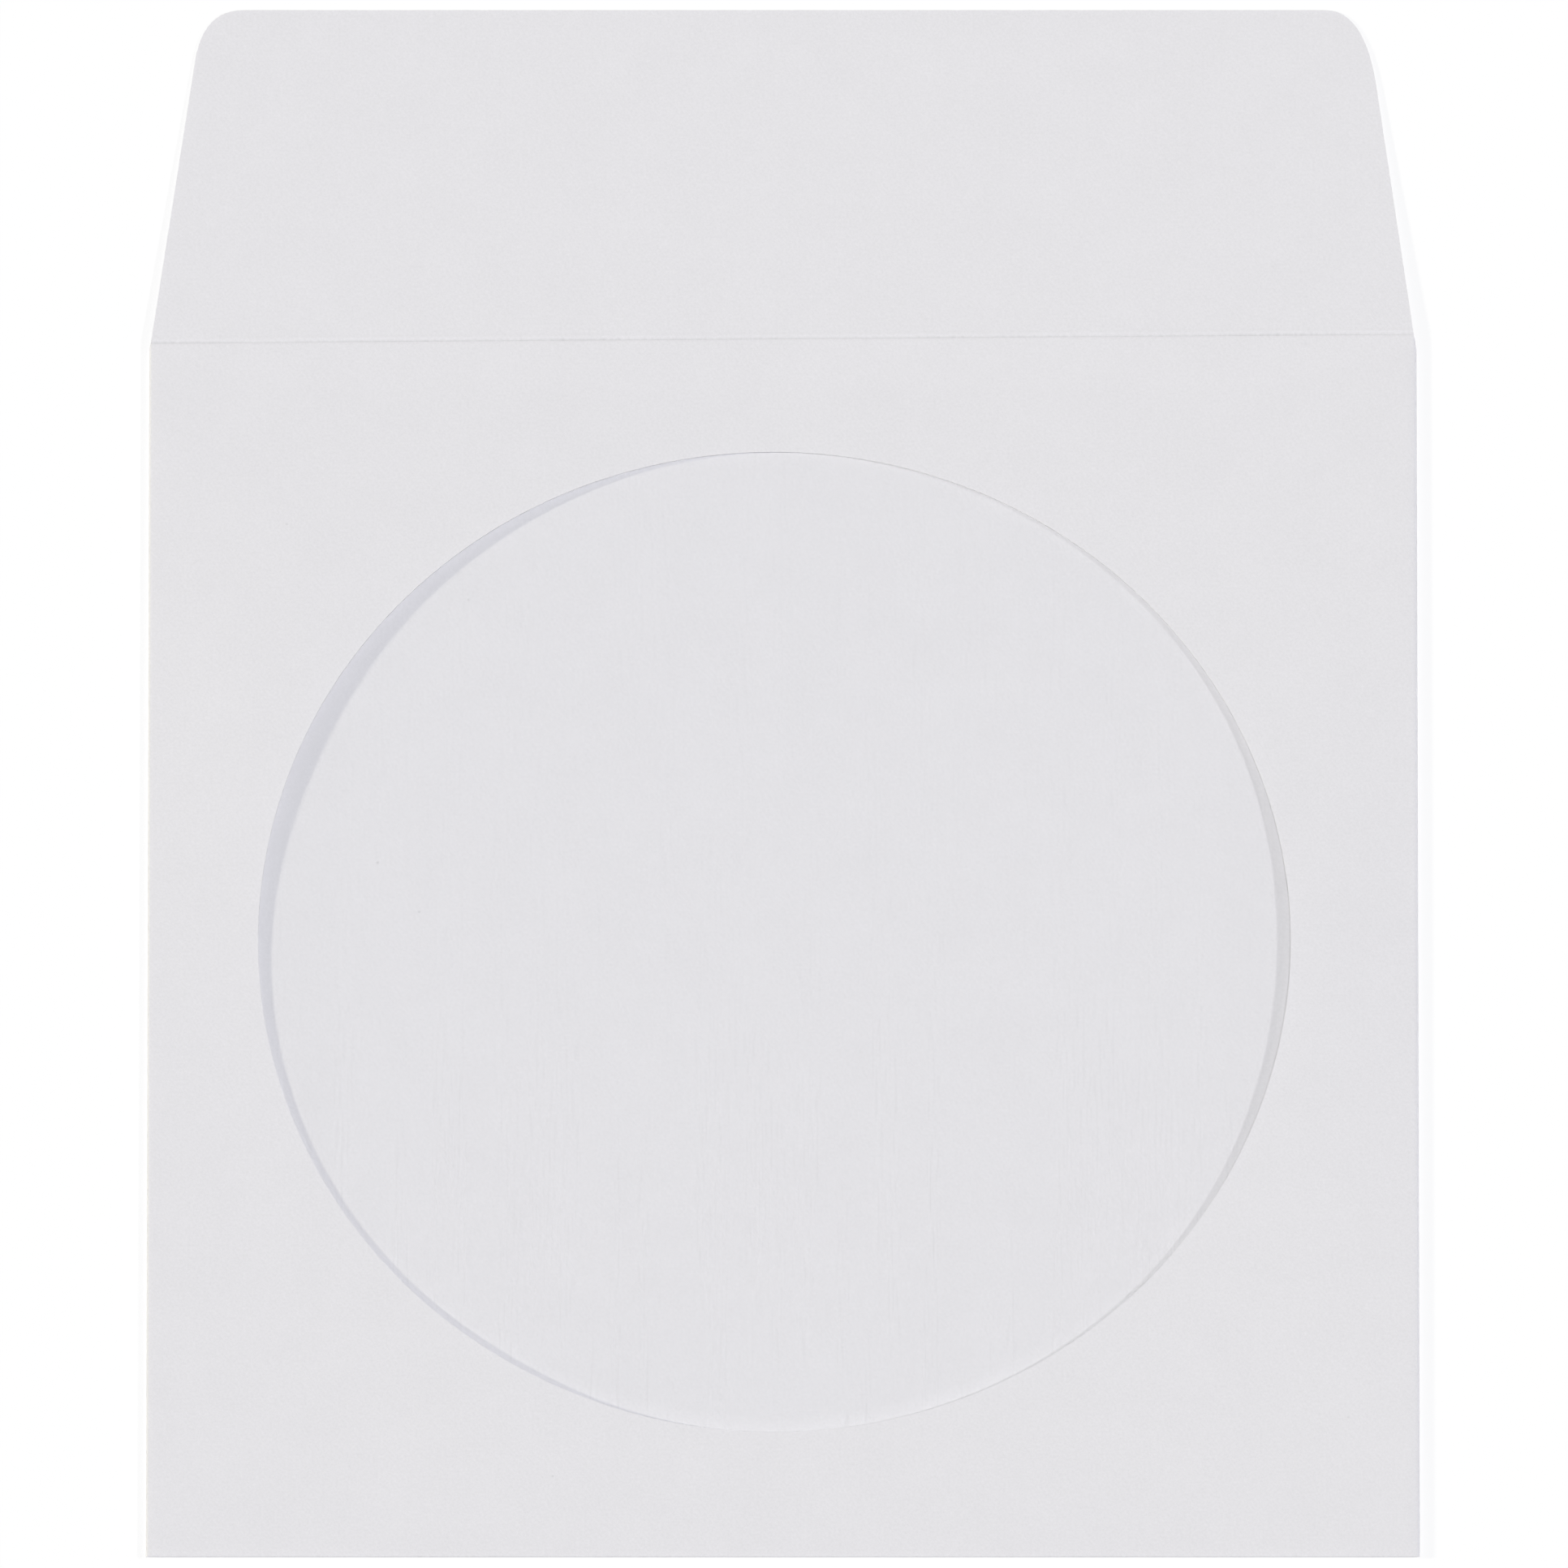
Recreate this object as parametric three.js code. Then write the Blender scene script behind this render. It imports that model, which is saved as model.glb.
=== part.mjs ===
// A paper sleeve for one disc: a sheet of paper folded into a flat envelope, open at the top under a flap,
// with a round window in its front panel and a clear film glued behind the window.
// Millimetres. It lies on its back: +Z out of the window, +Y towards the flap, +X to the right.
// The origin is in the middle of its outline, on the surface that it lies on.

import * as THREE from 'three';
import { ParametricGeometry } from 'three/addons/geometries/ParametricGeometry.js';
import { mergeGeometries, mergeVertices } from 'three/addons/utils/BufferGeometryUtils.js';

// The sheets
const paperThickness = 0.1;
const filmThickness = 0.04;

// The body, over its folds
const bodyWidth = 125;
const shoulderHeight = 125.1; // bottom fold to the shoulders, where the flap starts to narrow

// The flap. Its crease is a little out of square with the body.
const creaseRiseLeft = 0.75; // above the left shoulder
const creaseRiseRight = 1.7; // above the right shoulder
const flapHeight = 35.6; // shoulders to the free edge
const flapInsetLeft = 5.15; // the free edge's left end, in from the left shoulder
const flapInsetRight = 4.95;
const leftCorner = { alongEdge: 4.0, downSide: 5.3 };
const rightCorner = { alongEdge: 3.9, downSide: 8.1 };

// The window
const windowDiameter = 101.6;
const windowShift = -0.85; // from the body's middle line
const windowCentreHeight = 63.65; // above the bottom fold

// The back panel and the side tabs that are glued on it
const throatDepth = 5.5; // the back panel's free edge, below the middle of the crease
const backClearance = 0.6; // the back panel's sides, inside the side folds
const tabWidth = 18.7;
const tabBevel = 5; // how much each end of a tab closes in from its fold to its free edge

// The film overlaps the paper all round the window
const filmMargin = 5;

// Gaps between layers
const seamGlue = 0.06;
const filmGlue = 0.06;
const pocketGap = 0.15; // between the front and back panels, along the folds

// The front panel springs up from its folds, and stands highest on four soft humps.
// Their places are given from the window's middle.
const springWidth = 16;
const leftHump = { x: -47, y: 22, rise: 0.46, spread: 17 };
const upperHump = { x: -23, y: 40, rise: 0.26, spread: 12 };
const rightHump = { x: 50, y: -2, rise: 0.42, spread: 18 };
const lowerHump = { x: -28, y: -48, rise: 0.2, spread: 8.5 };

// How finely the sheets are divided
const stepsAlongSide = 22;
const stepsAcrossPanel = 5;
const stepsInQuarterFold = 3;
const stepsInCorner = 4;
const stepsUpFlap = 4;
const stepsAcrossTab = 2;
const stepsUpBack = 3;
const stepsAcrossFilm = 20;
const mergeDistance = 1e-4;

// Heights of the middle of the paper
const tabLevel = paperThickness / 2;
const backLevel = tabLevel + paperThickness + seamGlue;
const frontLevel = backLevel + paperThickness + pocketGap;
const sideFoldRadius = (frontLevel - tabLevel) / 2;
const bottomFoldRadius = (frontLevel - backLevel) / 2;

// Places of the outline, of the fold lines where the front panel starts to turn down, and of the window
const bottomEdge = -(shoulderHeight + flapHeight) / 2;
const shoulder = bottomEdge + shoulderHeight;
const flapEdge = shoulder + flapHeight;
const rightSide = bodyWidth / 2 - paperThickness / 2;
const leftSide = -rightSide;
const leftFold = leftSide + sideFoldRadius;
const rightFold = rightSide - sideFoldRadius;
const bottomSide = bottomEdge + paperThickness / 2;
const bottomFold = bottomSide + bottomFoldRadius;
const throatEdge = shoulder + (creaseRiseLeft + creaseRiseRight) / 2 - throatDepth;
const windowCentre = new THREE.Vector2(windowShift, bottomEdge + windowCentreHeight);

// How free of its folds the front panel is: 0 at a fold line, 1 from springWidth inside it
function spring(distance) {
  const s = THREE.MathUtils.clamp(distance / springWidth, 0, 1);
  return 1 - (1 - s) ** 2;
}

// How far a quarter-round fold has dropped at a distance past its fold line
function foldDrop(past, radius) {
  const s = THREE.MathUtils.clamp(past, 0, radius);
  return radius - Math.sqrt(radius ** 2 - s ** 2);
}

function creaseAt(x) {
  const across = (x - leftSide) / (rightSide - leftSide);
  return shoulder + THREE.MathUtils.lerp(creaseRiseLeft, creaseRiseRight, across);
}

// Height of the middle of the paper on the front panel, folds and crease included
function panelHeight(x, y) {
  let rise = 0;
  for (const hump of [leftHump, upperHump, rightHump, lowerHump]) {
    const away = Math.hypot(x - windowCentre.x - hump.x, y - windowCentre.y - hump.y);
    rise += hump.rise * Math.exp(-((away / hump.spread) ** 2) / 2);
  }
  const held = spring(x - leftFold) * spring(rightFold - x) * spring(y - bottomFold);
  const sideDrop = foldDrop(Math.max(leftFold - x, x - rightFold), sideFoldRadius);
  const bottomDrop = foldDrop(bottomFold - y, bottomFoldRadius);
  return frontLevel + held * rise - Math.max(sideDrop, bottomDrop);
}

// Above the crease the flap slopes down until its free edge touches what the sleeve lies on
function frontHeight(x, y) {
  const crease = creaseAt(x);
  if (y <= crease) {
    return panelHeight(x, y);
  }
  const up = (y - crease) / (flapEdge - crease);
  return THREE.MathUtils.lerp(panelHeight(x, crease), tabLevel, up);
}

// How far out a fold's quarter circle has come, from 0 at the fold line to 1 at the outermost line
function quarterOut(step, radius) {
  return radius * Math.sin((step * Math.PI) / 2);
}

// A patch of the sheet, as point(u, v) with u and v from 0 to 1. The outer face is on the side from which
// u runs to the right and v runs up.
function patch(point, stepsAlongU, stepsAlongV) {
  return new ParametricGeometry((u, v, target) => target.copy(point(u, v)), stepsAlongU, stepsAlongV);
}

function frontPoint(x, y) {
  return new THREE.Vector3(x, y, frontHeight(x, y));
}

// The front panel is a ring between the window and the rectangle of its fold lines and shoulders.
// It is made side by side, and each side has stepsAlongSide steps that its neighbours share.
function frontPanel() {
  const corners = [
    new THREE.Vector2(leftFold, bottomFold),
    new THREE.Vector2(rightFold, bottomFold),
    new THREE.Vector2(rightFold, shoulder),
    new THREE.Vector2(leftFold, shoulder),
  ];
  return corners.map((from, side) => {
    const to = corners[(side + 1) % corners.length];
    return patch((u, v) => {
      const outer = from.clone().lerp(to, u);
      const ray = outer.clone().sub(windowCentre).normalize();
      const rim = ray.multiplyScalar(windowDiameter / 2).add(windowCentre);
      const place = outer.lerp(rim, v);
      return frontPoint(place.x, place.y);
    }, stepsAlongSide, stepsAcrossPanel);
  });
}

// The upper quarter of a side fold, with side -1 on the left and 1 on the right
function upperSideFold(side) {
  const foldLine = side < 0 ? leftFold : rightFold;
  return patch((u, v) => {
    const out = side < 0 ? 1 - u : u;
    const x = foldLine + side * quarterOut(out, sideFoldRadius);
    return frontPoint(x, THREE.MathUtils.lerp(bottomFold, shoulder, v));
  }, stepsInQuarterFold, stepsAlongSide);
}

// The little patch where a side fold and the bottom fold meet
function bottomCorner(side) {
  const foldLine = side < 0 ? leftFold : rightFold;
  return patch((u, v) => {
    const out = side < 0 ? 1 - u : u;
    const x = foldLine + side * quarterOut(out, sideFoldRadius);
    return frontPoint(x, bottomFold - quarterOut(1 - v, bottomFoldRadius));
  }, stepsInQuarterFold, stepsInQuarterFold);
}

// How far up the sleeve a point of a tab lies. The tab's two ends close in by the bevel.
function tabY(v, inwards) {
  const bevel = (tabBevel * inwards) / tabWidth;
  return THREE.MathUtils.lerp(bottomFold + bevel, shoulder - bevel, v);
}

function lowerSideFold(side) {
  const outermost = side < 0 ? leftSide : rightSide;
  return patch((u, v) => {
    const under = side < 0 ? u : 1 - u;
    const inwards = sideFoldRadius - quarterOut(1 - under, sideFoldRadius);
    const drop = quarterOut(under, sideFoldRadius);
    const z = tabLevel + sideFoldRadius - drop;
    return new THREE.Vector3(outermost - side * inwards, tabY(1 - v, inwards), z);
  }, stepsInQuarterFold, stepsAlongSide);
}

function tab(side) {
  const outermost = side < 0 ? leftSide : rightSide;
  return patch((u, v) => {
    const across = side < 0 ? u : 1 - u;
    const inwards = THREE.MathUtils.lerp(sideFoldRadius, tabWidth, across);
    return new THREE.Vector3(outermost - side * inwards, tabY(1 - v, inwards), tabLevel);
  }, stepsAcrossTab, stepsAlongSide);
}

function upperBottomFold() {
  return patch((u, v) => {
    const y = bottomFold - quarterOut(1 - v, bottomFoldRadius);
    return frontPoint(THREE.MathUtils.lerp(leftFold, rightFold, u), y);
  }, stepsAlongSide, stepsInQuarterFold);
}

// The back panel's sides close in by backClearance along the lower part of the bottom fold
function backX(u, closing) {
  const inset = backClearance * closing;
  return THREE.MathUtils.lerp(leftFold + inset, rightFold - inset, u);
}

function lowerBottomFold() {
  return patch((u, v) => {
    const y = bottomSide + bottomFoldRadius - quarterOut(1 - v, bottomFoldRadius);
    const z = backLevel + bottomFoldRadius - quarterOut(v, bottomFoldRadius);
    return new THREE.Vector3(backX(1 - u, v), y, z);
  }, stepsAlongSide, stepsInQuarterFold);
}

function backPanel() {
  return patch((u, v) => {
    const y = THREE.MathUtils.lerp(bottomFold, throatEdge, v);
    return new THREE.Vector3(backX(1 - u, 1), y, backLevel);
  }, stepsAlongSide, stepsUpBack);
}

// The flap's side, from its shoulder to where its rounded corner ends on the free edge
function flapSide(side, inset, corner) {
  const start = new THREE.Vector2(side < 0 ? leftSide : rightSide, shoulder);
  const tip = new THREE.Vector2(start.x - side * inset, flapEdge);
  const rounding = tip.clone().lerp(start, corner.downSide / flapHeight);
  const onEdge = new THREE.Vector2(tip.x - side * corner.alongEdge, flapEdge);
  return { start, rounding, curve: new THREE.QuadraticBezierCurve(rounding, tip, onEdge) };
}

const flapLeft = flapSide(-1, flapInsetLeft, leftCorner);
const flapRight = flapSide(1, flapInsetRight, rightCorner);

// The columns of the flap, as shares of its width: those of the upper side folds and of the panel's top
function flapColumns() {
  const columns = [];
  for (let i = stepsInQuarterFold; i > 0; i -= 1) {
    columns.push(leftFold - quarterOut(i / stepsInQuarterFold, sideFoldRadius));
  }
  for (let i = 0; i <= stepsAlongSide; i += 1) {
    columns.push(THREE.MathUtils.lerp(leftFold, rightFold, i / stepsAlongSide));
  }
  for (let i = 1; i <= stepsInQuarterFold; i += 1) {
    columns.push(rightFold + quarterOut(i / stepsInQuarterFold, sideFoldRadius));
  }
  return columns.map((x) => (x - leftSide) / (rightSide - leftSide));
}

// One end of each row of the flap: shoulder, crease, straight side, rounded corner
function flapRowEnds({ start, rounding, curve }, creaseRise) {
  const ends = [start];
  const straight = rounding.y - start.y;
  for (let i = 0; i <= stepsUpFlap; i += 1) {
    const up = THREE.MathUtils.lerp(creaseRise, straight, i / stepsUpFlap);
    ends.push(start.clone().lerp(rounding, up / straight));
  }
  for (let i = 1; i <= stepsInCorner; i += 1) {
    ends.push(curve.getPoint(i / stepsInCorner));
  }
  return ends;
}

function flap() {
  const columns = flapColumns();
  const leftEnds = flapRowEnds(flapLeft, creaseRiseLeft);
  const rightEnds = flapRowEnds(flapRight, creaseRiseRight);
  const stepsAcross = columns.length - 1;
  const stepsUp = leftEnds.length - 1;
  return patch((u, v) => {
    const row = Math.round(v * stepsUp);
    const place = leftEnds[row].clone().lerp(rightEnds[row], columns[Math.round(u * stepsAcross)]);
    return frontPoint(place.x, place.y);
  }, stepsAcross, stepsUp);
}

// Joins patches of a sheet's middle surface along their common edges
function joinPatches(patches) {
  const joined = mergeGeometries(patches);
  joined.deleteAttribute('normal');
  joined.deleteAttribute('uv');
  return mergeVertices(joined, mergeDistance);
}

// Makes a closed solid of a middle surface: two faces, half the thickness off it, and the cut edges
function thicken(surface, thickness) {
  surface.computeVertexNormals();
  const count = surface.attributes.position.count;
  const faces = Array.from(surface.index.array);
  const vertices = [];
  for (const half of [thickness / 2, -thickness / 2]) {
    for (let i = 0; i < count; i += 1) {
      const middle = new THREE.Vector3().fromBufferAttribute(surface.attributes.position, i);
      const normal = new THREE.Vector3().fromBufferAttribute(surface.attributes.normal, i);
      vertices.push(...middle.addScaledVector(normal, half));
    }
  }
  const edges = new Map();
  for (let i = 0; i < faces.length; i += 3) {
    for (const [from, to] of [[0, 1], [1, 2], [2, 0]]) {
      edges.set(`${faces[i + from]} ${faces[i + to]}`, [faces[i + from], faces[i + to]]);
    }
  }
  const triangles = [...faces];
  for (let i = 0; i < faces.length; i += 3) {
    triangles.push(faces[i] + count, faces[i + 2] + count, faces[i + 1] + count);
  }
  for (const [from, to] of edges.values()) {
    if (!edges.has(`${to} ${from}`)) {
      triangles.push(to, from, from + count, to, from + count, to + count);
    }
  }
  const solid = new THREE.BufferGeometry();
  solid.setAttribute('position', new THREE.Float32BufferAttribute(vertices, 3));
  solid.setIndex(triangles);
  solid.computeVertexNormals();
  return solid;
}

function paperEnvelope() {
  const patches = [...frontPanel(), upperBottomFold(), lowerBottomFold(), backPanel(), flap()];
  for (const side of [-1, 1]) {
    patches.push(upperSideFold(side), bottomCorner(side), lowerSideFold(side), tab(side));
  }
  const paper = new THREE.MeshStandardMaterial({ color: 0xe4e3e6, roughness: 0.85, metalness: 0 });
  const mesh = new THREE.Mesh(thicken(joinPatches(patches), paperThickness), paper);
  mesh.name = 'paper_envelope';
  return mesh;
}

// The film follows the inside of the front panel, and spans the window
function windowFilm() {
  const half = windowDiameter / 2 + filmMargin;
  const below = paperThickness / 2 + filmGlue + filmThickness / 2;
  const surface = patch((u, v) => {
    const x = windowCentre.x + THREE.MathUtils.lerp(-half, half, u);
    const y = windowCentre.y + THREE.MathUtils.lerp(-half, half, v);
    return new THREE.Vector3(x, y, panelHeight(x, y) - below);
  }, stepsAcrossFilm, stepsAcrossFilm);
  const clear = new THREE.MeshStandardMaterial({ color: 0xf4f6f8, roughness: 0.08, metalness: 0 });
  clear.transparent = true;
  clear.opacity = 0.2;
  const mesh = new THREE.Mesh(thicken(joinPatches([surface]), filmThickness), clear);
  mesh.name = 'window_film';
  return mesh;
}

const sleeve = new THREE.Group();
sleeve.add(paperEnvelope(), windowFilm());

export default sleeve;
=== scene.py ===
"""The paper disc sleeve as it lies in the photograph: window up, flap open, seen almost from above."""

import math

import bpy
import numpy as np
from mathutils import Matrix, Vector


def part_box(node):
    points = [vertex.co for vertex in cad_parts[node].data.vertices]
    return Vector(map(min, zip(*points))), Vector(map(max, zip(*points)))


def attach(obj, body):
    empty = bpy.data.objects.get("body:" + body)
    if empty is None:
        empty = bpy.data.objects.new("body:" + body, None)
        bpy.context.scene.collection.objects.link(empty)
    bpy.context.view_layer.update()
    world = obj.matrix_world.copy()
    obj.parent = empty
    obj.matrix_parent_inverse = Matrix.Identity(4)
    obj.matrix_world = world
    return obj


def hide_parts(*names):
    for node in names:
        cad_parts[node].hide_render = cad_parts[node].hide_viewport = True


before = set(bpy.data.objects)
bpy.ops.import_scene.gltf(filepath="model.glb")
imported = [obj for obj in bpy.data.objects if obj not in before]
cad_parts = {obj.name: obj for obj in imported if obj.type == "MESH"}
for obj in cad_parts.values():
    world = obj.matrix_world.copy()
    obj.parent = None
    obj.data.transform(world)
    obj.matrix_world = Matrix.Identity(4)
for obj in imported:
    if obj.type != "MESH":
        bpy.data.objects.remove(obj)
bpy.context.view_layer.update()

MM = 0.001

# The sheets and the gaps between them
PAPER = 0.1 * MM
FILM = 0.04 * MM
SEAM_GLUE = 0.06 * MM
FILM_GLUE = 0.06 * MM
POCKET_GAP = 0.15 * MM

# The blank's own lengths, where the frame's boxes don't give them. Left is -1 and right is 1
FLAP_HEIGHT = 35.6 * MM
FLAP_INSETS = {-1: 5.15 * MM, 1: 4.95 * MM}
FLAP_CORNERS = {-1: (4.0 * MM, 5.3 * MM), 1: (3.9 * MM, 8.1 * MM)}
CREASE_RISES = {-1: 0.75 * MM, 1: 1.7 * MM}
THROAT_DEPTH = 5.5 * MM
BACK_CLEARANCE = 0.6 * MM
TAB_WIDTH = 18.7 * MM
TAB_BEVEL = 5 * MM
FILM_MARGIN = 5 * MM

# Where the front panel stands off the back, from the window's middle: x, y, rise, spread
HUMPS = (
    (-47 * MM, 22 * MM, 0.46 * MM, 17 * MM),
    (-23 * MM, 40 * MM, 0.26 * MM, 12 * MM),
    (50 * MM, -2 * MM, 0.42 * MM, 18 * MM),
    (-28 * MM, -48 * MM, 0.2 * MM, 8.5 * MM),
)

# How far in from its folds the front panel is held down
SPRING_WIDTH = 16 * MM

# The crease is a groove that the folding rule pressed, with a low burr on its flap side
GROOVE_DEPTH = 0.05 * MM
GROOVE_WIDTH = 0.12 * MM
BURR_HEIGHT = 0.02 * MM
BURR_OFFSET = 0.38 * MM

# Places that the frame gives
paper_low, paper_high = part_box("paper_envelope")
film_low, film_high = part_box("window_film")
RIGHT_SIDE = paper_high.x - PAPER / 2
LEFT_SIDE = -RIGHT_SIDE
BOTTOM_EDGE = paper_low.y
FLAP_EDGE = paper_high.y
SHOULDER = FLAP_EDGE - FLAP_HEIGHT
WINDOW_X = (film_low.x + film_high.x) / 2
WINDOW_Y = (film_low.y + film_high.y) / 2
WINDOW_RADIUS = (film_high.x - film_low.x) / 2 - FILM_MARGIN

# Levels of the middle of the paper, and the folds
TAB_LEVEL = PAPER / 2
BACK_LEVEL = TAB_LEVEL + PAPER + SEAM_GLUE
FRONT_LEVEL = BACK_LEVEL + PAPER + POCKET_GAP
SIDE_RADIUS = (FRONT_LEVEL - TAB_LEVEL) / 2
BOTTOM_RADIUS = (FRONT_LEVEL - BACK_LEVEL) / 2
FOLDS = {-1: LEFT_SIDE + SIDE_RADIUS, 1: RIGHT_SIDE - SIDE_RADIUS}
SIDES = {-1: LEFT_SIDE, 1: RIGHT_SIDE}
BOTTOM_SIDE = BOTTOM_EDGE + PAPER / 2
BOTTOM_FOLD = BOTTOM_SIDE + BOTTOM_RADIUS

# The crease, a straight line that is a little out of square with the body
CREASE_MIDDLE = SHOULDER + (CREASE_RISES[-1] + CREASE_RISES[1]) / 2
CREASE_SLOPE = (CREASE_RISES[1] - CREASE_RISES[-1]) / (RIGHT_SIDE - LEFT_SIDE)
THROAT_EDGE = CREASE_MIDDLE - THROAT_DEPTH

# The camera: the photograph's height above the sleeve's plane, and the part of that plane that it takes in
ELEVATION = math.radians(71.5)
VIEW_WIDTH = 154.4 * MM
VIEW_MIDDLE = (0.1 * MM, -0.25 * MM)
LENS = 1700
SENSOR = 36

# Lamps: azimuth and elevation in degrees, share of the light on the sleeve, width in degrees, colour
LAMPS = {
    "top_lamp": (-84, 73, 0.66, 14, (0.935, 0.947, 1.0)),
    "left_lamp": (180, 17, 0.185, 4, (1.0, 0.96, 0.79)),
    "right_lamp": (0, 26, 0.16, 4, (1.0, 1.0, 1.0)),
}
SKY_SHARE = 0.04
WHITE = (1, 1, 1, 1)

# The floor: half its width, how far it lies under the sleeve, its paleness, and the share of it that glows
FLOOR_HALF = 3.0
FLOOR_DROP = 0.01 * MM
FLOOR_COLOUR = (0.85, 0.85, 0.85, 1)
FLOOR_GLOW = 0.72


def between(a, b, share):
    return a + (b - a) * share


def spring(distance):
    """How free of its folds the front panel is: 0 at a fold line, 1 from SPRING_WIDTH inside it."""
    return 1 - (1 - np.clip(distance / SPRING_WIDTH, 0, 1)) ** 2


def fold_drop(past, radius):
    """How far a fold has gone down, from how far past its fold line a point lies."""
    s = np.clip(past, 0, radius)
    return radius - np.sqrt(radius**2 - s**2)


def crease_at(x):
    """The crease's y at x."""
    return x * CREASE_SLOPE + CREASE_MIDDLE


def panel_height(x, y):
    """The front panel's height, with its humps and the upper halves of its folds."""
    rise = 0
    for hump_x, hump_y, height, spread in HUMPS:
        away = np.hypot(x - WINDOW_X - hump_x, y - WINDOW_Y - hump_y)
        rise = rise + height * np.exp(-((away / spread) ** 2) / 2)
    held = spring(x - FOLDS[-1]) * spring(FOLDS[1] - x) * spring(y - BOTTOM_FOLD)
    side_drop = fold_drop(np.maximum(FOLDS[-1] - x, x - FOLDS[1]), SIDE_RADIUS)
    bottom_drop = fold_drop(BOTTOM_FOLD - y, BOTTOM_RADIUS)
    return FRONT_LEVEL + held * rise - np.maximum(side_drop, bottom_drop)


def groove(away):
    """The crease's own section, from how far above its line a point lies."""
    burr = BURR_HEIGHT * np.exp(-(((away - BURR_OFFSET) / GROOVE_WIDTH) ** 2))
    return burr - GROOVE_DEPTH * np.exp(-((away / GROOVE_WIDTH) ** 2))


def front_height(x, y):
    """The front panel's height, and past the crease that of the flap, which slopes down to the floor."""
    crease = crease_at(x)
    up = np.clip((y - crease) / (FLAP_EDGE - crease), 0, 1)
    level = between(panel_height(x, np.minimum(y, crease)), TAB_LEVEL, up)
    return level + groove(y - crease)


def front_point(x, y):
    return np.stack([x, y, front_height(x, y)], axis=-1)


def quarter_out(step, radius):
    """How far out a quarter round has come after this share of its length."""
    return radius * np.sin(step * math.pi / 2)


def placed(name, data):
    """A new object in the scene, of this mesh, lamp or camera."""
    made = bpy.data.objects.new(name, data)
    bpy.context.scene.collection.objects.link(made)
    return made


# Points closer than this are one point, and edges bent more than this are sharp
WELD_STEP = 0.001 * MM
SHARP_ANGLE = math.radians(50)


def outward(points, quads):
    """The direction out of the sheet's outer face at each point."""
    one_way = points[quads[:, 2]] - points[quads[:, 0]]
    other_way = points[quads[:, 3]] - points[quads[:, 1]]
    across = np.cross(one_way, other_way)
    across /= np.linalg.norm(across, axis=1, keepdims=True)
    normals = np.zeros_like(points)
    for corner in range(4):
        np.add.at(normals, quads[:, corner], across)
    return normals / np.linalg.norm(normals, axis=1, keepdims=True)


def cut_edges(quads):
    """The edges that only one quad has, each as two points' numbers."""
    starts = quads.ravel()
    ends = np.roll(quads, -1, axis=1).ravel()
    edges = set(zip(starts.tolist(), ends.tolist()))
    rim = np.array([(a, b) for a, b in edges if (b, a) not in edges])
    return rim[np.lexsort((rim[:, 1], rim[:, 0]))]


class Sheet:
    """A thin sheet, put together from patches of its middle surface."""

    def __init__(self):
        self.points = []
        self.quads = []
        self.count = 0

    def patch(self, point, us, vs):
        """Adds point(u, v) over a grid. Its outer face is on the side from which u runs right and v up."""
        v, u = np.meshgrid(vs, us, indexing="ij")
        grid = point(u, v).reshape(-1, 3)
        rows, columns = len(vs), len(us)
        corner = (np.arange(rows - 1)[:, None] * columns + np.arange(columns - 1)[None, :]).ravel()
        corner = corner + self.count
        self.quads.append(np.stack([corner, corner + 1, corner + 1 + columns, corner + columns], axis=1))
        self.points.append(grid)
        self.count += len(grid)

    def welded(self):
        """The points, each once, and the quads by their points' numbers."""
        points = np.concatenate(self.points)
        keys = np.round(points / WELD_STEP).astype(np.int64)
        _, first, where = np.unique(keys, axis=0, return_index=True, return_inverse=True)
        return points[first], where.ravel()[np.concatenate(self.quads)]

    def solid(self, name, thickness):
        """A mesh object with both faces of the sheet and its cut edges, and the edges marked sharp."""
        points, quads = self.welded()
        half = outward(points, quads) * thickness / 2
        count = len(points)
        rim = cut_edges(quads)
        walls = np.stack([rim[:, 1], rim[:, 0], rim[:, 0] + count, rim[:, 1] + count], axis=1)
        vertices = np.concatenate([points + half, points - half])
        faces = np.concatenate([quads, quads[:, ::-1] + count, walls])
        mesh = bpy.data.meshes.new(name)
        mesh.from_pydata(vertices.tolist(), [], faces.tolist())
        mesh.shade_smooth()
        mesh.set_sharp_from_angle(angle=SHARP_ANGLE)
        return placed(name, mesh)


# How finely the sheets are divided
SIDE_STEPS = np.linspace(0, 1, 111)
RING_STEPS = np.linspace(0, 1, 29)
QUARTER_STEPS = np.linspace(0, 1, 6)
CORNER_STEPS = np.linspace(0, 1, 13)[1:]
FLAP_STEPS = np.linspace(0, 1, 31)[1:]
TAB_STEPS = np.linspace(0, 1, 12)
BACK_STEPS = np.linspace(0, 1, 60)
FILM_STEPS = np.linspace(0, 1, 113)

# Rows across the crease, from how far above its line they lie
GROOVE_ROWS = MM * np.array([
    -0.55, -0.38, -0.26, -0.17, -0.1, -0.05, 0, 0.05, 0.1, 0.17, 0.26, 0.38, 0.5, 0.62, 0.8])


def front_panel(sheet):
    """A ring between the window and the rectangle of the fold lines and the shoulders, side by side."""
    corners = np.array([
        (FOLDS[-1], BOTTOM_FOLD), (FOLDS[1], BOTTOM_FOLD), (FOLDS[1], SHOULDER), (FOLDS[-1], SHOULDER)])
    middle = np.array([WINDOW_X, WINDOW_Y])
    for start, end in zip(corners, np.roll(corners, -1, axis=0)):
        def ring(u, v, start=start, end=end):
            outer = between(start, end, u[..., None])
            ray = outer - middle
            rim = middle + ray / np.linalg.norm(ray, axis=-1, keepdims=True) * WINDOW_RADIUS
            place = between(outer, rim, v[..., None])
            return front_point(place[..., 0], place[..., 1])
        sheet.patch(ring, SIDE_STEPS, RING_STEPS)


def fold_x(side, u):
    """Across a side fold's upper half, from left to right."""
    out = 1 - u if side < 0 else u
    return FOLDS[side] + side * quarter_out(out, SIDE_RADIUS)


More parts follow.
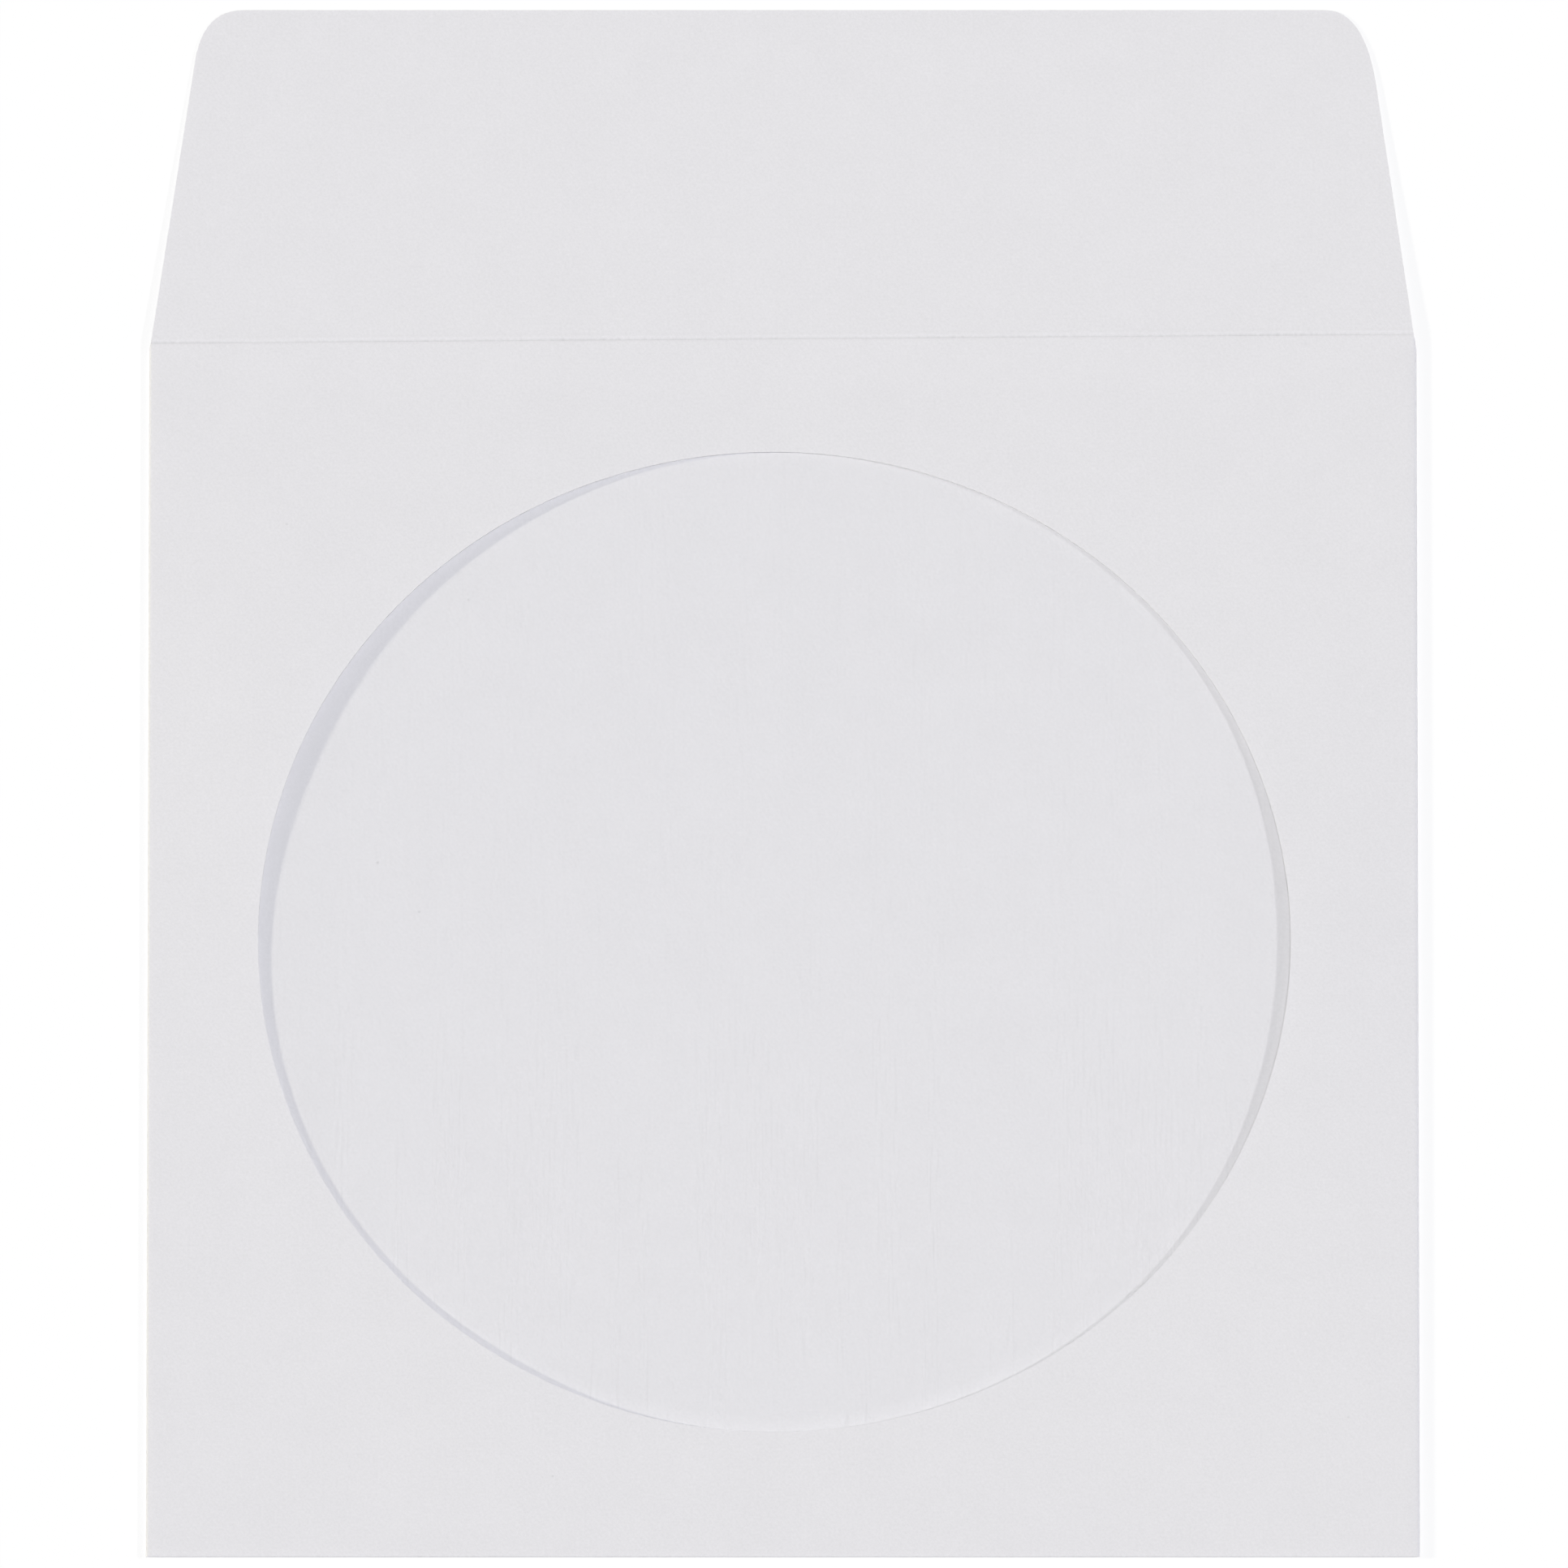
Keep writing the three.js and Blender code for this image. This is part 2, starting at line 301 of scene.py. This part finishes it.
def bottom_y(v):
    """Across half of the bottom fold, from its outside to the fold line."""
    return BOTTOM_FOLD - quarter_out(1 - v, BOTTOM_RADIUS)


def upper_side_fold(sheet, side):
    def point(u, v):
        return front_point(fold_x(side, u), between(BOTTOM_FOLD, SHOULDER, v))
    sheet.patch(point, QUARTER_STEPS, SIDE_STEPS)


def bottom_corner(sheet, side):
    def point(u, v):
        return front_point(fold_x(side, u), bottom_y(v))
    sheet.patch(point, QUARTER_STEPS, QUARTER_STEPS)


def tab_y(v, inwards):
    """Along a side tab, whose ends are bevelled more the further inwards they lie."""
    bevel = TAB_BEVEL * inwards / TAB_WIDTH
    return between(BOTTOM_FOLD + bevel, SHOULDER - bevel, v)


def lower_side_fold(sheet, side):
    def point(u, v):
        under = u if side < 0 else 1 - u
        inwards = SIDE_RADIUS - quarter_out(1 - under, SIDE_RADIUS)
        z = TAB_LEVEL + SIDE_RADIUS - quarter_out(under, SIDE_RADIUS)
        return np.stack([SIDES[side] - side * inwards, tab_y(1 - v, inwards), z], axis=-1)
    sheet.patch(point, QUARTER_STEPS, 1 - SIDE_STEPS[::-1])


def tab(sheet, side):
    def point(u, v):
        across = u if side < 0 else 1 - u
        inwards = between(SIDE_RADIUS, TAB_WIDTH, across)
        z = np.full_like(u, TAB_LEVEL)
        return np.stack([SIDES[side] - side * inwards, tab_y(1 - v, inwards), z], axis=-1)
    sheet.patch(point, TAB_STEPS, 1 - SIDE_STEPS[::-1])


def back_x(u, closing):
    """Across the back panel, which is narrower than the bottom fold by a clearance at each end."""
    inset = BACK_CLEARANCE * closing
    return between(FOLDS[-1] + inset, FOLDS[1] - inset, u)


def bottom_fold(sheet):
    def upper(u, v):
        return front_point(between(FOLDS[-1], FOLDS[1], u), bottom_y(v))

    def lower(u, v):
        z = BACK_LEVEL + BOTTOM_RADIUS - quarter_out(v, BOTTOM_RADIUS)
        return np.stack([back_x(1 - u, v), bottom_y(v), z], axis=-1)
    sheet.patch(upper, SIDE_STEPS, QUARTER_STEPS)
    sheet.patch(lower, SIDE_STEPS, QUARTER_STEPS)


def back_panel(sheet):
    def point(u, v):
        y = between(BOTTOM_FOLD, THROAT_EDGE, v)
        return np.stack([back_x(1 - u, 1), y, np.full_like(u, BACK_LEVEL)], axis=-1)
    sheet.patch(point, SIDE_STEPS, BACK_STEPS)


def flap_ends(side):
    """Where each row of the flap ends: shoulder, groove of the crease, straight side, rounded corner."""
    along, down = FLAP_CORNERS[side]
    start = np.array([SIDES[side], SHOULDER])
    tip = np.array([start[0] - side * FLAP_INSETS[side], FLAP_EDGE])
    rounding = between(tip, start, down / FLAP_HEIGHT)
    on_edge = np.array([tip[0] - side * along, FLAP_EDGE])
    straight = rounding[1] - start[1]
    ups = [0, *(CREASE_RISES[side] + GROOVE_ROWS)]
    ups += between(ups[-1], straight, FLAP_STEPS).tolist()
    ends = [between(start, rounding, up / straight) for up in ups]
    for t in CORNER_STEPS:
        ends.append((1 - t) ** 2 * rounding + 2 * t * (1 - t) * tip + t**2 * on_edge)
    return np.array(ends)


def flap(sheet):
    outside = quarter_out(QUARTER_STEPS[1:], SIDE_RADIUS)
    columns = np.concatenate([
        FOLDS[-1] - outside[::-1], between(FOLDS[-1], FOLDS[1], SIDE_STEPS), FOLDS[1] + outside])
    shares = (columns - LEFT_SIDE) / (RIGHT_SIDE - LEFT_SIDE)
    left, right = flap_ends(-1), flap_ends(1)

    def point(u, v):
        row = np.round(v).astype(int)
        place = between(left[row], right[row], u[..., None])
        return front_point(place[..., 0], place[..., 1])
    sheet.patch(point, shares, np.arange(len(left)))


def paper_sheet():
    sheet = Sheet()
    front_panel(sheet)
    bottom_fold(sheet)
    back_panel(sheet)
    flap(sheet)
    for side in (-1, 1):
        upper_side_fold(sheet, side)
        bottom_corner(sheet, side)
        lower_side_fold(sheet, side)
        tab(sheet, side)
    return sheet.solid("folded_paper", PAPER)


def clear_film():
    """A square sheet that follows the inside of the front panel."""
    half = WINDOW_RADIUS + FILM_MARGIN
    below = PAPER / 2 + FILM_GLUE + FILM / 2

    def point(u, v):
        x = WINDOW_X + between(-half, half, u)
        y = WINDOW_Y + between(-half, half, v)
        return np.stack([x, y, panel_height(x, y) - below], axis=-1)
    sheet = Sheet()
    sheet.patch(point, FILM_STEPS, FILM_STEPS)
    return sheet.solid("clear_film", FILM)


# In metres, and longer than all else: a pattern stays the same along an axis that is measured in it
FAR = 1000.0


class Signal:
    """A value in a node tree. Arithmetic on it adds Math nodes."""

    def __init__(self, finish, socket):
        self.finish = finish
        self.socket = socket

    def other(self, name):
        """Another output of the same node."""
        return Signal(self.finish, self.socket.node.outputs[name])

    def math(self, operation, first, second=0.0, clamp=False):
        settings = {"operation": operation, "use_clamp": clamp}
        return self.finish.node("ShaderNodeMath", settings, {0: first, 1: second})

    def __add__(self, other):
        return self.math("ADD", self, other)

    def __sub__(self, other):
        return self.math("SUBTRACT", self, other)

    def __rsub__(self, other):
        return self.math("SUBTRACT", other, self)

    def __mul__(self, other):
        return self.math("MULTIPLY", self, other)

    def __truediv__(self, other):
        return self.math("DIVIDE", self, other)

    def __pow__(self, other):
        return self.math("POWER", self, other)

    __radd__ = __add__
    __rmul__ = __mul__

    def size(self):
        return self.math("ABSOLUTE", self)

    def clamped(self):
        return self.math("ADD", self, 0.0, clamp=True)

    def under(self, edge, soft):
        """1 where the value is well under edge, 0 where it is well over, over a width of soft."""
        return ((edge - self) / soft + 0.5).clamped()

    def over(self, edge, soft):
        """1 where the value is well over edge, 0 where it is well under, over a width of soft."""
        return ((self - edge) / soft + 0.5).clamped()


class Finish:
    """The node tree of one material or of the sky."""

    def __init__(self, owner):
        owner.use_nodes = True
        self.owner = owner
        self.tree = owner.node_tree
        self.tree.nodes.clear()

    def node(self, kind, settings=None, sockets=None, output=0):
        """Adds a node: its settings first, then the values or links of its sockets. Gives one output."""
        made = self.tree.nodes.new(kind)
        for name, value in (settings or {}).items():
            setattr(made, name, value)
        for name, value in (sockets or {}).items():
            if isinstance(value, Signal):
                self.tree.links.new(value.socket, made.inputs[name])
            else:
                made.inputs[name].default_value = value
        return Signal(self, made.outputs[output]) if made.outputs else None

    def place(self):
        """Where a point lies on the object, in metres."""
        return self.node("ShaderNodeTexCoord", output="Object")

    def axes(self, vector):
        parts = self.node("ShaderNodeSeparateXYZ", None, {0: vector})
        return [parts.other(axis) for axis in "XYZ"]

    def stretched(self, vector, lengths, turn=0.0, middle=(0, 0)):
        """The same places, from a middle and along turned axes, measured in these lengths."""
        if turn:
            return self.node("ShaderNodeMapping", {"vector_type": "TEXTURE"}, {
                "Vector": vector, "Location": (*middle, 0), "Rotation": (0, 0, turn),
                "Scale": (*lengths, FAR)})
        shares = [1 / length for length in (*lengths, FAR)]
        shift = [-start * share for start, share in zip((*middle, 0), shares)]
        return self.node(
            "ShaderNodeVectorMath", {"operation": "MULTIPLY_ADD"}, {0: vector, 1: shares, 2: shift})

    def noise(self, vector, detail, roughness=0.5):
        sockets = {"Vector": vector, "Scale": 1.0, "Detail": detail, "Roughness": roughness}
        return self.node("ShaderNodeTexNoise", {"noise_dimensions": "2D"}, sockets, "Fac")

    def far_out(self, vector):
        """How long a vector is."""
        return self.node("ShaderNodeVectorMath", {"operation": "LENGTH"}, {0: vector}, "Value")

    def shaded(self, colour, shade):
        return self.node("ShaderNodeVectorMath", {"operation": "SCALE"}, {0: colour, "Scale": shade})

    def mixed(self, share, first, second):
        return self.node("ShaderNodeMixShader", None, {0: share, 1: first, 2: second})

    def ended(self, surface, kind="ShaderNodeOutputMaterial"):
        """Sends the surface to the tree's output. Gives the material or the sky."""
        self.node(kind, None, {"Surface": surface})
        return self.owner


# The paper's colour, its gloss, and the share of the light that goes through one face of it
PAPER_COLOUR = (0.838, 0.83, 0.85)
PAPER_ROUGHNESS = 0.85
PAPER_GLOSS = 0.25
THROUGH_COLOUR = (0.95, 0.94, 0.95, 1)
LIGHT_THROUGH = 0.12

# Clouds, grain and fibres in the paper: their size, and how much they change its tone
CLOUD_SIZE = (6 * MM, 6 * MM)
CLOUD_TONE = 0.03
GRAIN_SIZE = (0.26 * MM, 0.26 * MM)
GRAIN_TONE = 0.13
FIBRE_SIZE = (0.18 * MM, 1.3 * MM)
FIBRE_TURN = 0.6
FIBRE_TONE = 0.04
FIBRE_RELIEF = 0.02 * MM
FIBRE_STRENGTH = 0.3

# Painted shade along the crease's line: its reach to each side, its beads and stretches, and how much
# darker it is
CREASE_REACH = 0.12 * MM
CREASE_SOFT = 0.14 * MM
BEAD_SIZE = (0.5 * MM, FAR)
STRETCH_SIZE = (14 * MM, FAR)
CREASE_PAINTED_SHADE = 0.025
BEAD_PAINTED_SHADE = 0.12

# Specks and stray fibres in the paper, in mm: x, y, half length, half width, turn, how much darker
MARKS = (
    (-48.9, 26.5, 0.14, 0.1, 0.0, 0.1),
    (-31.0, 18.8, 0.1, 0.09, 0.0, 0.16),
    (-39.9, -8.5, 0.12, 0.11, 0.0, 0.2),
    (-35.8, -13.6, 0.12, 0.1, 0.0, 0.18),
    (-43.1, -1.0, 0.5, 0.06, 0.0, 0.06),
    (-57.9, 22.6, 0.5, 0.08, 0.6, 0.04),
    (48.6, 53.5, 0.4, 0.3, 0.0, 0.025),
    (32.0, -30.0, 0.35, 0.05, 0.0, 0.05),
    (55.5, -66.0, 0.12, 0.1, 0.0, 0.1),
)
MARK_SOFT = 0.8

# Specks strewn by chance, at most one to a cell, with their radius in cells
SPECK_CELL = (11 * MM, 11 * MM)
SPECK_RADIUS = 0.011
SPECK_SOFT = 0.008
SPECK_DARK = 0.12

# Painted light: a brighter band painted inside the window's lower rim, in shares of the window's radius,
# and its light
BAND_START = 0.965
BAND_WIDTH = 0.035
BAND_END = 0.997
BAND_SOFT = 0.003
BAND_DOWN = 0.72
LOW_SOFT = 0.4
PAINTED_STREAK_SIZE = (0.4 * MM, 2.5 * MM)
BAND_LIGHT = 0.035
PAINTED_STREAK_LIGHT = 0.03

# The film: its draw lines, in broader groups, and how milky it is all over, in them and seen aslant
FILM_COLOUR = (0.95, 0.96, 0.97, 1)
FILM_ROUGHNESS = 0.08
DRAW_SIZE = (0.32 * MM, 5 * MM)
GROUP_SIZE = (2.6 * MM, 60 * MM)
DRAW_DOWN = 0.3
FILM_HAZE = 0.02
DRAW_HAZE = 0.012
ASLANT_HAZE = 0.35


def crease_painted_shade(finish, place):
    """Painted shade along the pressed line of the crease: how much darker it is. It is beaded, and deeper
    in some stretches.
    """
    x, y, _ = finish.axes(place)
    away = (y - crease_at(x)).size()
    beads = finish.noise(finish.stretched(place, BEAD_SIZE), 1)
    stretches = finish.noise(finish.stretched(place, STRETCH_SIZE), 1)
    depth = CREASE_PAINTED_SHADE + beads.over(0.5, 0.5) * stretches.over(0.45, 0.5) * BEAD_PAINTED_SHADE
    return away.under(CREASE_REACH, CREASE_SOFT) * depth


def paper_marks(finish, place):
    """How much darker the paper is at its specks and stray fibres."""
    dark = 0
    for x, y, length, width, turn, depth in MARKS:
        mark = finish.stretched(place, (length * MM, width * MM), turn, (x * MM, y * MM))
        dark = dark + finish.far_out(mark).under(1, MARK_SOFT) * depth
    cells = finish.node("ShaderNodeTexVoronoi", None, {
        "Vector": finish.stretched(place, SPECK_CELL), "Scale": 1.0})
    chance = finish.axes(cells.other("Color"))[0]
    return dark + cells.under(SPECK_RADIUS, SPECK_SOFT) * chance.over(0.8, 0.4) * SPECK_DARK


def lower_part(finish, place, down):
    """1 well below a line that lies down window radii under the window's middle, and 0 well above it."""
    _, y, _ = finish.axes(place)
    return y.under(WINDOW_Y - down * WINDOW_RADIUS, LOW_SOFT * WINDOW_RADIUS)


def painted_rim_light(finish, place):
    """Painted light: how much brighter the back panel is painted in a band inside the lower rim, in short
    streaks.
    """
    window = (WINDOW_RADIUS, WINDOW_RADIUS)
    out = finish.far_out(finish.stretched(place, window, 0, (WINDOW_X, WINDOW_Y)))
    near_rim = ((out - BAND_START) / BAND_WIDTH).clamped()
    band = near_rim * out.under(BAND_END, BAND_SOFT) * lower_part(finish, place, BAND_DOWN)
    # The painted light is stronger in short streaks
    painted_streaks = finish.noise(finish.stretched(place, PAINTED_STREAK_SIZE), 2)
    return band * (BAND_LIGHT + painted_streaks * PAINTED_STREAK_LIGHT)


def white_paper():
    """Uncoated white paper, which lets a little light through."""
    finish = Finish(bpy.data.materials.new("uncoated_white_paper"))
    place = finish.place()
    clouds = finish.noise(finish.stretched(place, CLOUD_SIZE), 3, 0.62)
    grain = finish.noise(finish.stretched(place, GRAIN_SIZE), 2, 0.7)
    fibres = finish.noise(finish.stretched(place, FIBRE_SIZE, FIBRE_TURN), 1)
    tone = 1 + (clouds - 0.5) * CLOUD_TONE + (grain - 0.5) * GRAIN_TONE + (fibres - 0.5) * FIBRE_TONE
    # The colour carries painted light in the band inside the window's lower rim and painted shade along
    # the crease, with the paper's own tone, specks and fibres
    shade = tone + painted_rim_light(finish, place) - crease_painted_shade(finish, place) - paper_marks(finish, place)
    bump = finish.node("ShaderNodeBump", None, {
        "Height": fibres, "Strength": FIBRE_STRENGTH, "Distance": FIBRE_RELIEF})
    face = finish.node("ShaderNodeBsdfPrincipled", None, {
        "Base Color": finish.shaded(PAPER_COLOUR, shade), "Roughness": PAPER_ROUGHNESS,
        "Specular IOR Level": PAPER_GLOSS, "Normal": bump})
    through = finish.node("ShaderNodeBsdfTranslucent", None, {"Color": THROUGH_COLOUR})
    return finish.ended(finish.mixed(LIGHT_THROUGH, face, through))


def gloss_film():
    """Clear film, a little milky in its draw lines."""
    finish = Finish(bpy.data.materials.new("clear_gloss_film"))
    place = finish.place()
    draw_lines = finish.noise(finish.stretched(place, DRAW_SIZE), 1)
    groups = finish.noise(finish.stretched(place, GROUP_SIZE), 0)
    low = lower_part(finish, place, DRAW_DOWN)
    streaks = draw_lines.over(0.6, 0.15) * groups.over(0.55, 0.12) * (0.3 + low) * DRAW_HAZE
    aslant = finish.node("ShaderNodeLayerWeight", None, {"Blend": 0.5}, "Facing")
    alpha = (aslant**5.0 * ASLANT_HAZE + FILM_HAZE + streaks).clamped()
    face = finish.node("ShaderNodeBsdfPrincipled", None, {
        "Base Color": FILM_COLOUR, "Roughness": FILM_ROUGHNESS, "Alpha": alpha})
    return finish.ended(face)


def seen_straight(finish):
    """1 for rays from the camera, also those by way of gloss and clear film."""
    rays = finish.node("ShaderNodeLightPath")
    by_film = rays.other("Is Glossy Ray") + rays.other("Is Transmission Ray")
    return (rays.other("Is Camera Ray") + by_film).clamped()


def floor_finish():
    """White where it is seen, with the sleeve's shadow kept, and pale for the light that it sends back."""
    finish = Finish(bpy.data.materials.new("pale_floor"))
    pale = finish.node("ShaderNodeBsdfDiffuse", None, {"Color": FLOOR_COLOUR})
    white = finish.node("ShaderNodeBsdfDiffuse", None, {"Color": WHITE})
    glow = finish.node("ShaderNodeEmission", None, {"Color": WHITE, "Strength": 1.0})
    bright = finish.mixed(FLOOR_GLOW, white, glow)
    return finish.ended(finish.mixed(seen_straight(finish), pale, bright))


def floor():
    corners = [
        (x * FLOOR_HALF, y * FLOOR_HALF, -FLOOR_DROP) for x, y in ((-1, -1), (1, -1), (1, 1), (-1, 1))]
    mesh = bpy.data.meshes.new("floor")
    mesh.from_pydata(corners, [], [(0, 1, 2, 3)])
    mesh.materials.append(floor_finish())
    plane = placed("floor", mesh)


def sky():
    """A faint even light, which the camera and the film see as white."""
    finish = Finish(bpy.data.worlds.new("soft_sky"))
    faint = finish.node("ShaderNodeBackground", None, {"Color": WHITE, "Strength": SKY_SHARE})
    white = finish.node("ShaderNodeBackground", None, {"Color": WHITE, "Strength": 1.0})
    surface = finish.mixed(seen_straight(finish), faint, white)
    bpy.context.scene.world = finish.ended(surface, "ShaderNodeOutputWorld")


def lamp(name, azimuth, elevation, share, width, colour):
    """A soft lamp that gives its share of the light on a level surface."""
    light = bpy.data.lights.new(name, "SUN")
    light.energy = share * math.pi / math.sin(math.radians(elevation))
    light.angle = math.radians(width)
    light.color = colour
    lamp_object = placed(name, light)
    lamp_object.rotation_euler = (0, math.radians(90 - elevation), math.radians(azimuth))


def camera():
    data = bpy.data.cameras.new("camera")
    data.sensor_width = SENSOR
    data.lens = LENS
    distance = LENS * VIEW_WIDTH / SENSOR
    data.clip_start = distance / 10
    data.clip_end = distance * 3
    eye = placed("camera", data)
    middle_x, middle_y = VIEW_MIDDLE
    eye.location = (middle_x, middle_y - distance * math.cos(ELEVATION), distance * math.sin(ELEVATION))
    eye.rotation_euler = (math.pi / 2 - ELEVATION, 0, 0)
    bpy.context.scene.camera = eye


camera()
sky()
for lamp_name, values in LAMPS.items():
    lamp(lamp_name, *values)
floor()

paper = paper_sheet()
paper.data.materials.append(white_paper())
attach(paper, "root")
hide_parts("paper_envelope")

film = clear_film()
film.data.materials.append(gloss_film())
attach(film, "root")
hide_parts("window_film")

bpy.context.scene.view_settings.view_transform = "Standard"
